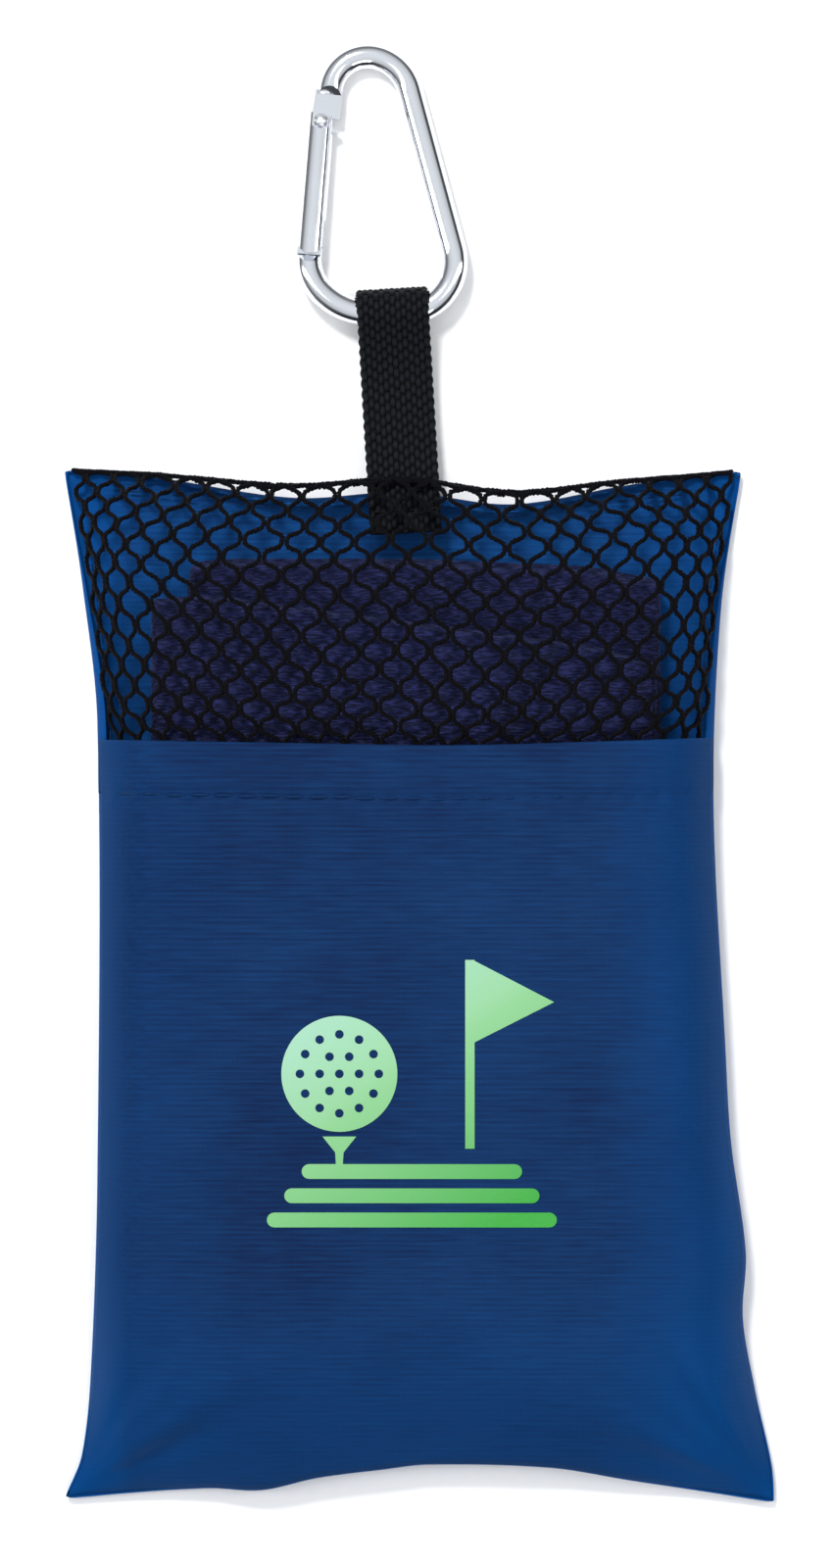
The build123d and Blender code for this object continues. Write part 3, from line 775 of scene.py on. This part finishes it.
def towel_path():
    """Points (x, z, turn, pass share) along the serpentine, from the bottom layer up."""
    stations = []
    for layer in range(PASSES):
        under = layer < UNDER_PASSES
        under_left = UNDER_LEFT + 0.6 * math.sin(layer * 2.1)
        left = under_left if under else OVER_LEFT + 0.5 * math.sin(layer * 1.7)
        right = ALL_RIGHT + 0.7 * math.sin(layer * 1.3)
        z = towel_low[2] + LAYER * (layer + 0.5)
        forward = layer % 2 == 0
        ends = (left, right) if forward else (right, left)
        for k in range(PASS_STEPS + 1):
            u = k / PASS_STEPS
            x = ends[0] + (ends[1] - ends[0]) * u
            stations.append((x, z, 0.0 if forward else math.pi, layer))
        if layer < PASSES - 1:
            for k in range(1, TURN_STEPS):
                angle = math.pi * k / TURN_STEPS
                bulge = LAYER / 2
                side = 1 if forward else -1
                x = ends[1] + side * bulge * math.sin(angle)
                height = z + bulge * (1 - math.cos(angle))
                turn = angle if forward else math.pi - angle
                stations.append((x, height, turn, layer + k / TURN_STEPS))
    return stations


def ply_section(count):
    """The two plies side by side, joined by a round fold at the top: (along, across) pairs."""
    half = PLY_PITCH / 2
    section = [(u / count, -half) for u in range(count + 1)]
    for k in range(1, FOLD_STEPS):
        angle = math.pi * k / FOLD_STEPS
        section.append((1 + half * math.sin(angle) / TOWEL_LENGTH, -half * math.cos(angle)))
    return section + [(1 - u / count, half) for u in range(count + 1)]


stations = towel_path()
section = ply_section(PLY_ROWS)
bm = bmesh.new()
bmesh.ops.create_grid(bm, x_segments=len(stations) - 1, y_segments=len(section) - 1, size=1.0)
for vertex in bm.verts:
    i = int(round((vertex.co.x + 1) / 2 * (len(stations) - 1)))
    j = int(round((vertex.co.y + 1) / 2 * (len(section) - 1)))
    x, z, turn, layer = stations[i]
    share, across = section[j]
    upper = blend_in(layer, UNDER_PASSES - 0.9, UNDER_PASSES - 0.1)
    slant = TOWEL_TOP_OVER - OVER_SLANT * (x + 57)
    top = TOWEL_TOP_UNDER - 0.045 * max(x, 0) - 0.5 * layer
    top = top * (1 - upper) + (slant - 0.35 * (layer - UNDER_PASSES)) * upper
    ends_dip = 2.0 * blend_in(abs(x + 3), 38, 56)
    top -= ends_dip
    y = TOWEL_BOTTOM + (top - TOWEL_BOTTOM) * share
    normal_x, normal_z = -math.sin(turn), math.cos(turn)
    soft = noise.noise(Vector((x * 0.05, y * 0.05, layer * 0.7))) * 0.35
    edge = blend_in(share, 0.9, 1.0) + blend_in(-share, -0.1, 0.0)
    height = z + normal_z * across + soft
    height += (MIDDLE_HEIGHT - height) * 0.06 * edge
    height -= (height - towel_low[2]) * 0.2 * blend_in(y, -25, 15)
    vertex.co = (x + normal_x * across, y, min(max(height, towel_low[2] + 0.4), towel_high[2] - 0.3))
towel = make_piece("towel_cloth", bm, "towel", towelling.material, ("towel",))
thicken(towel, PLY * 0.9, 0.0)

# %% [markdown]
# ## Webbing
# The loop is 15 mm polypropylene webbing. Its face is rows of raised yarn beads, each column half
# a bead out of step with the next. The strip follows its folded route round the hook's bar, and
# the bead pattern lifts the mesh itself, so it also shows at the edges.

# %% Route of the webbing
pivot = Vector(joints["strap_swing"]["pos_m"]) / MM
eye = Vector(joints["hook_swing"]["pos_m"]) / MM
across_axis = Vector(joints["hook_swing"]["axis"]).normalized()
along_axis = (eye - pivot).normalized()
up_axis = across_axis.cross(along_axis).normalized()
reach = (eye - pivot).length
WEB_WIDTH = 15.0
WEB_THICK = 1.15
EYE_RADIUS = 4.75
TAPER = 12.0
TAIL = 10.5
PLY_HALF = 0.62
TAIL_RISE = 2.6
HALF_TAIL_RISE = 1.6
LOOP_STEPS = 14
WEB_STEP = 0.3


def web_route():
    """Side view of the upper ply, over the bar, and the lower ply: (along, up) points."""
    lean = math.asin((EYE_RADIUS - PLY_HALF) / TAPER)
    sweep = math.pi + 2 * lean
    upper = [(-TAIL - 0.5, PLY_HALF + TAIL_RISE), (-TAIL / 2, PLY_HALF + HALF_TAIL_RISE), (0.5, PLY_HALF),
             (reach - TAPER - 9, PLY_HALF), (reach - TAPER + 0.8, PLY_HALF + 0.25)]
    arc = []
    for k in range(LOOP_STEPS + 1):
        angle = math.pi / 2 + lean - sweep * k / LOOP_STEPS
        arc.append((reach + EYE_RADIUS * math.cos(angle), EYE_RADIUS * math.sin(angle)))
    lower = [(reach - TAPER + 0.8, -PLY_HALF - 0.25), (reach - TAPER - 9, -PLY_HALF), (0.5, -PLY_HALF),
             (-TAIL / 2, HALF_TAIL_RISE - PLY_HALF), (-TAIL - 0.5, TAIL_RISE - PLY_HALF)]
    return upper + arc + lower


def even_route(points, step):
    points = np.array(points, float)
    for _ in range(3):
        finer = np.repeat(points, 2, axis=0)[:-1]
        finer[1::2] = (points[:-1] + points[1:]) / 2
        inner = finer.copy()
        inner[1:-1] = finer[1:-1] * 0.5 + (finer[:-2] + finer[2:]) * 0.25
        points = inner
    lengths = np.concatenate([[0], np.cumsum(np.linalg.norm(np.diff(points, axis=0), axis=1))])
    at = np.linspace(0, lengths[-1], int(lengths[-1] / step) + 1)
    return np.stack([np.interp(at, lengths, points[:, k]) for k in range(2)], axis=1), at


# %% Webbing with its raised beads
BEAD_COLUMNS = 13
BEAD_ROW = 2.3
BEAD_HEIGHT = 0.42
POINTS_PER_BEAD = 6
SELVEDGE_DIP = 0.18
SELVEDGE_SWAY = 0.16
web_points, web_at = even_route(web_route(), WEB_STEP)
across_count = BEAD_COLUMNS * POINTS_PER_BEAD
bm = bmesh.new()
bead_shade = bm.verts.layers.float.new("bead")
bmesh.ops.create_grid(bm, x_segments=across_count, y_segments=len(web_points) - 1, size=1.0)
for vertex in bm.verts:
    u = (vertex.co.x + 1) / 2
    j = int(round((vertex.co.y + 1) / 2 * (len(web_points) - 1)))
    a, b = web_points[j]
    ahead = web_points[min(j + 1, len(web_points) - 1)] - web_points[max(j - 1, 0)]
    ahead = ahead / np.linalg.norm(ahead)
    out = (-ahead[1], ahead[0])
    column = min(int(u * BEAD_COLUMNS), BEAD_COLUMNS - 1)
    round_across = abs(math.sin(math.pi * u * BEAD_COLUMNS)) ** 0.6
    phase = web_at[j] / BEAD_ROW + 0.5 * (column % 2) + 0.12 * math.sin(column * 1.7)
    round_along = abs(math.cos(math.pi * phase)) ** 0.55
    bead = BEAD_HEIGHT * round_across * round_along
    # The bead's profile is kept on each point so that the webbing's material can paint shade between the
    # beads.
    vertex[bead_shade] = round_across * round_along
    edge = blend_in(abs(2 * u - 1), 0.93, 1.0)
    lift = bead - BEAD_HEIGHT / 2 - SELVEDGE_DIP * edge
    sway = SELVEDGE_SWAY * math.sin(web_at[j] * TURN / BEAD_ROW) * edge
    x = (u - 0.5) * WEB_WIDTH + (0.5 - u) * 0.2 * edge + sway * (1 if u > 0.5 else -1)
    along = a + out[0] * lift
    up = b + out[1] * lift
    vertex.co = pivot + across_axis * x + along_axis * along + up_axis * up
webbing = make_piece("webbing_strap_loop", bm, None, webbing_yarn,
                     ("webbing_strap", "webbing_tail"))
thicken(webbing, WEB_THICK - BEAD_HEIGHT, 0.0)
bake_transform(webbing)

# %% [markdown]
# ## Stitching
# Every stitch is a short twist of thread that dips into the cloth at both ends. One small helper
# makes a stitch from a stretched sphere, and loops lay the rows.


# %% Stitch rows
def add_stitch(bm, start, end, radius):
    """A capsule-like bead of thread between two points, in millimetres."""
    middle = (start + end) / 2
    run = end - start
    turn = Vector((1, 0, 0)).rotation_difference(run).to_matrix().to_4x4()
    size = Matrix.Diagonal((run.length / 2, radius, radius, 1))
    poles_along = Matrix.Rotation(math.pi / 2, 4, "Y")
    bmesh.ops.create_uvsphere(bm, u_segments=8, v_segments=6, radius=1.0,
                              matrix=Matrix.Translation(middle) @ turn @ size @ poles_along)


HEM_STITCHES = 25
HEM_START = -64.6
HEM_RUN = 126.2
HALF_STITCH = 2.15
HEM_THREAD = 0.27
SEAM_THREAD = 0.2
TAIL_STITCHES = 9
TAIL_PITCH = 1.55
bm = bmesh.new()
for k in range(HEM_STITCHES):
    x = HEM_START + HEM_RUN * (k + 0.5) / HEM_STITCHES
    y = through(MOUTH, x) - HEM_DEPTH
    a, b = (Vector((v, y + 0.1 * math.sin(k * 2.3), front_surface(v, y) + 0.1))
            for v in (x - HALF_STITCH, x + HALF_STITCH))
    add_stitch(bm, a, b, HEM_THREAD)
hem_stitches = make_piece("hem_stitches", bm, "pouch", blue_thread, ("hem_stitching",))

bm = bmesh.new()
for row in (0.45, 0.6):
    for k in range(TAIL_STITCHES):
        x = (k - TAIL_STITCHES // 2) * TAIL_PITCH
        middle = pivot + across_axis * x - along_axis * (1.5 + row * TAIL) + up_axis * (PLY_HALF + TAIL_RISE)
        add_stitch(bm, middle - across_axis * 0.6, middle + across_axis * 0.6, SEAM_THREAD)
make_piece("strap_stitches", bm, "pouch", black_thread, ("strap_stitching",))


def seam_row(name, points, node):
    bm = bmesh.new()
    for a, b in zip(points, points[1:]):
        add_stitch(bm, a * 0.93 + b * 0.07, a * 0.07 + b * 0.93, SEAM_THREAD)
    make_piece(name, bm, "pouch", blue_thread, (node,))


def seam_point(x, y, inset_x, inset_y):
    z = SEAM_LOW + (SEAM_HIGH - SEAM_LOW) * fullness(x, y)
    return Vector((x + inset_x, y + inset_y, z - 0.4))


SEAM_STITCH = 3.0
SIDE_START, SIDE_RUN = -150, 205
END_START, END_RUN = -66, 126
side_rows = [SIDE_START + SEAM_STITCH * k for k in range(int(SIDE_RUN / SEAM_STITCH))]
left_points = [seam_point(through(LEFT_EDGE, y), y, 2.4, 0) for y in side_rows]
right_points = [seam_point(through(RIGHT_EDGE, y), y, -2.4, 0) for y in side_rows]
end_columns = [END_START + SEAM_STITCH * k for k in range(int(END_RUN / SEAM_STITCH))]
closed_points = [seam_point(x, through(CLOSED_END, x), 0, 1.6) for x in end_columns]
hook_points = [seam_point(x, through(HOOK_END, x), 0, -3.4) - Vector((0, 0, 2.8 * fullness(x, 60)))
               for x in end_columns]
seam_row("left_seam_stitches", left_points, "left_seam_stitching")
seam_row("right_seam_stitches", right_points, "right_seam_stitching")
seam_row("closed_end_stitches", closed_points, "closed_end_stitching")
seam_row("hook_end_stitches", hook_points, "hook_end_stitching")

# %% [markdown]
# ## Print
# A plain golf motif stands where a club would put its own mark: a dimpled ball on a tee, a flag
# and three bands of turf. The flat shapes are cut into small tiles, so the ink can follow the
# swell of the cloth.


# %% Print shapes
def outline(bm, points):
    """The edges of a closed flat shape through a few points."""
    verts = [bm.verts.new((x, y, 0)) for x, y in points]
    return [bm.edges.new((verts[k], verts[(k + 1) % len(verts)])) for k in range(len(verts))]


def circle(bm, x, y, radius, count):
    verts = bmesh.ops.create_circle(bm, segments=count, radius=radius,
                                    matrix=Matrix.Translation((x, y, 0)))["verts"]
    return [bm.edges.get((verts[k], verts[(k + 1) % count])) for k in range(count)]


def fill(bm, edges):
    """Fills a flat shape from the edges of its rim and of its holes."""
    bmesh.ops.triangle_fill(bm, use_beauty=True, edges=edges)


centre_x, centre_y = print_middle[0] / MM, print_middle[1] / MM
half_w, half_h = print_span[0] / MM / 2, print_span[1] / MM / 2
low_y = centre_y - half_h
BALL_RADIUS = 12.4
DIMPLE_RADIUS = 0.95
DIMPLE_RINGS = [(0.0, 1), (0.34, 6), (0.68, 12)]
TURF_BANDS = 3
ball_x, ball_y = centre_x - half_w + 1.25 * BALL_RADIUS, low_y + 0.56 * 2 * half_h + 1
bm = bmesh.new()
ball = circle(bm, ball_x, ball_y, BALL_RADIUS, 72)
for share, number in DIMPLE_RINGS:
    for k in range(number):
        angle = TURN * k / number
        ball += circle(bm, ball_x + share * BALL_RADIUS * math.cos(angle),
                       ball_y + share * BALL_RADIUS * math.sin(angle), DIMPLE_RADIUS, 12)
fill(bm, ball)
tee_top = ball_y - BALL_RADIUS - 1.0
tee_half = [(3.6, 0.0), (0.9, 3.4), (0.7, 6.6)]
fill(bm, outline(bm, [(ball_x - wide, tee_top - down) for wide, down in tee_half]
                 + [(ball_x + wide, tee_top - down) for wide, down in tee_half[::-1]]))
pole_x = centre_x - half_w + 0.7 * 2 * half_w
pole_low, pole_high = low_y + 0.3 * 2 * half_h, low_y + 2 * half_h
fill(bm, outline(bm, [(pole_x - 1, pole_low), (pole_x + 1, pole_low), (pole_x + 1, pole_high - 17.6),
                      (pole_x + 18, pole_high - 9), (pole_x + 1, pole_high - 0.2),
                      (pole_x + 1, pole_high), (pole_x - 1, pole_high)]))
for k in range(TURF_BANDS):
    y = low_y + (0.035 + 0.09 * k) * 2 * half_h
    wide = half_w * (1 - 0.12 * k)
    thick = 0.0275 * 2 * half_h
    ends = [(centre_x + wide - thick + thick * math.cos(a), y + thick * math.sin(a))
            for a in np.linspace(-math.pi / 2, math.pi / 2, 9)]
    ends += [(centre_x - wide + thick + thick * math.cos(a), y + thick * math.sin(a))
             for a in np.linspace(math.pi / 2, 3 * math.pi / 2, 9)]
    fill(bm, outline(bm, ends))

# %% Print laid on the cloth
TILE = 2.0
TILE_OFFSET = 0.37
INK_LIFT = 0.14
INK_THICKNESS = 0.06
corner = Vector((centre_x - half_w, low_y, 0))
for direction, span in ((Vector((1, 0, 0)), 2 * half_w), (Vector((0, 1, 0)), 2 * half_h)):
    for k in range(int(span / TILE) + 1):
        place = direction * (corner.dot(direction) + k * TILE + TILE_OFFSET)
        bmesh.ops.bisect_plane(bm, geom=bm.verts[:] + bm.edges[:] + bm.faces[:],
                               plane_co=place, plane_no=direction)
for vertex in bm.verts:
    vertex.co.z = front_surface(vertex.co.x, vertex.co.y) + INK_LIFT
bmesh.ops.recalc_face_normals(bm, faces=bm.faces)
for face in bm.faces:
    if face.normal.z < 0:
        face.normal_flip()
emblem = make_piece("printed_motif", bm, "pouch", ink.material, ("printed_emblem",),
                    shaded_smooth=False)
thicken(emblem, INK_THICKNESS)

# %% [markdown]
# ## Hook
# The hook's frame, gate and pins already have their true shape in the CAD model, so they keep
# their meshes and only get their finish.

# %% Metal finishes on the CAD pieces
for node, material in (("carabiner_body", polished), ("gate", polished), ("hinge_pin", polished),
                       ("latch_rivet", satin), ("spring_plunger", satin), ("gate_spring", spring_wire)):
    piece = frame["nodes"][node]
    piece.data.materials.clear()
    piece.data.materials.append(material)
    print(node, len(piece.data.polygons), "faces, now", material.name)

# %% [markdown]
# The spring sits in the gate's bore and gets shorter as the plunger is pushed in. A copy of the
# CAD spring's mesh stands for it, rides on the gate and has a mesh of its own. The CAD's triangles
# are loose, so the copy's corners are merged first.

# %% Copy of the gate spring
spring = bpy.data.objects.new("gate_spring_coil", frame["nodes"]["gate_spring"].data.copy())
bm = bmesh.new()
bm.from_mesh(spring.data)
bmesh.ops.remove_doubles(bm, verts=bm.verts, dist=1e-7)
bm.to_mesh(spring.data)
bm.free()
bpy.context.scene.collection.objects.link(spring)
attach(spring, "gate")
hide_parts("gate_spring")
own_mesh(spring)

# %% [markdown]
# ## The soft pieces
# When the towel is lifted out, the front, the net, the hem stitches and the print have nothing
# under them any more and would sink flat onto the back panel. Here each only gets a mesh of its own.

# %% Own meshes for the soft pieces of the pouch
for piece in (front_panel, net_panel, hem_stitches, emblem):
    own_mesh(piece)

# %% [markdown]
# ## Floor, light and camera
# The set is a pale floor under soft light. A big softbox overhead gives the cloth its even look,
# and two narrower ones at the sides draw the bright and dark lines along the polished rod.

# %% Floor
bm = bmesh.new()
bmesh.ops.create_grid(bm, x_segments=1, y_segments=1, size=3.0)
floor_mesh = bpy.data.meshes.new("floor")
bm.to_mesh(floor_mesh)
bm.free()
floor = bpy.data.objects.new("floor", floor_mesh)
bpy.context.scene.collection.objects.link(floor)
paper = Finish("Pale paper", Roughness=0.9, Specular_IOR_Level=0.2)
grain = paper.noise(paper.place(), 400.0, 3.0)
paper.set(Base_Color=paper.mix(grain, (0.86, 0.86, 0.87, 1.0), (0.9, 0.9, 0.9, 1.0)))
floor_mesh.materials.append(paper.material)


# %% Lights
def softbox(name, place, target, size, power):
    light = bpy.data.lights.new(name, "AREA")
    light.shape = "RECTANGLE"
    light.size, light.size_y = size
    light.energy = power
    lamp = bpy.data.objects.new(name, light)
    bpy.context.scene.collection.objects.link(lamp)
    lamp.location = place
    lamp.rotation_euler = (Vector(target) - Vector(place)).to_track_quat("-Z", "Y").to_euler()
    return lamp


softbox("overhead", (-0.3, 0.75, 1.1), (0, 0, 0), (0.22, 0.22), 13.0)
softbox("left strip", (-0.8, 0.0, 0.9), (0, 0, 0), (0.2, 1.2), 3.5)
softbox("right strip", (0.8, 0.1, 0.9), (0, 0, 0), (0.2, 1.2), 3.0)
softbox("fill", (0.25, -1.0, 0.9), (0, 0, 0), (0.9, 0.4), 3.5)
world = bpy.data.worlds.new("Studio")
world.use_nodes = True
sky = Nodes(world.node_tree)
east, north, up = sky.axes(sky.node("TexCoord"))
dark_side = ((east - north) * 0.75 + 0.45).clamp()
dark_band = (1 - ((up - 0.3) * 3.6) ** 2).clamp() * (0.45 + 0.55 * dark_side)
glow = (0.2 + up.clamp() * 0.7) * (1 - dark_band * 0.96)
background = sky.tree.nodes["Background"]
sky.tree.links.new(glow.socket, background.inputs["Strength"])
background.inputs["Color"].default_value = (0.94, 0.97, 1.0, 1.0)
bpy.context.scene.world = world
bpy.context.scene.view_settings.view_transform = "Standard"

# %% Camera
FRAME_HEIGHT = 0.3368
VIEW_CENTRE = Vector((-0.0005, -0.0029, 0.012))
CAMERA_HEIGHT = 1.6
camera_data = bpy.data.cameras.new("camera")
camera_data.sensor_fit = "VERTICAL"
camera_data.sensor_height = 24.0
camera_data.lens = camera_data.sensor_height * CAMERA_HEIGHT / FRAME_HEIGHT
camera = bpy.data.objects.new("camera", camera_data)
bpy.context.scene.collection.objects.link(camera)
camera.location = VIEW_CENTRE + Vector((0, 0, CAMERA_HEIGHT))
bpy.context.scene.camera = camera
print("camera looks down from", CAMERA_HEIGHT, "m with a", round(camera_data.lens), "mm lens")
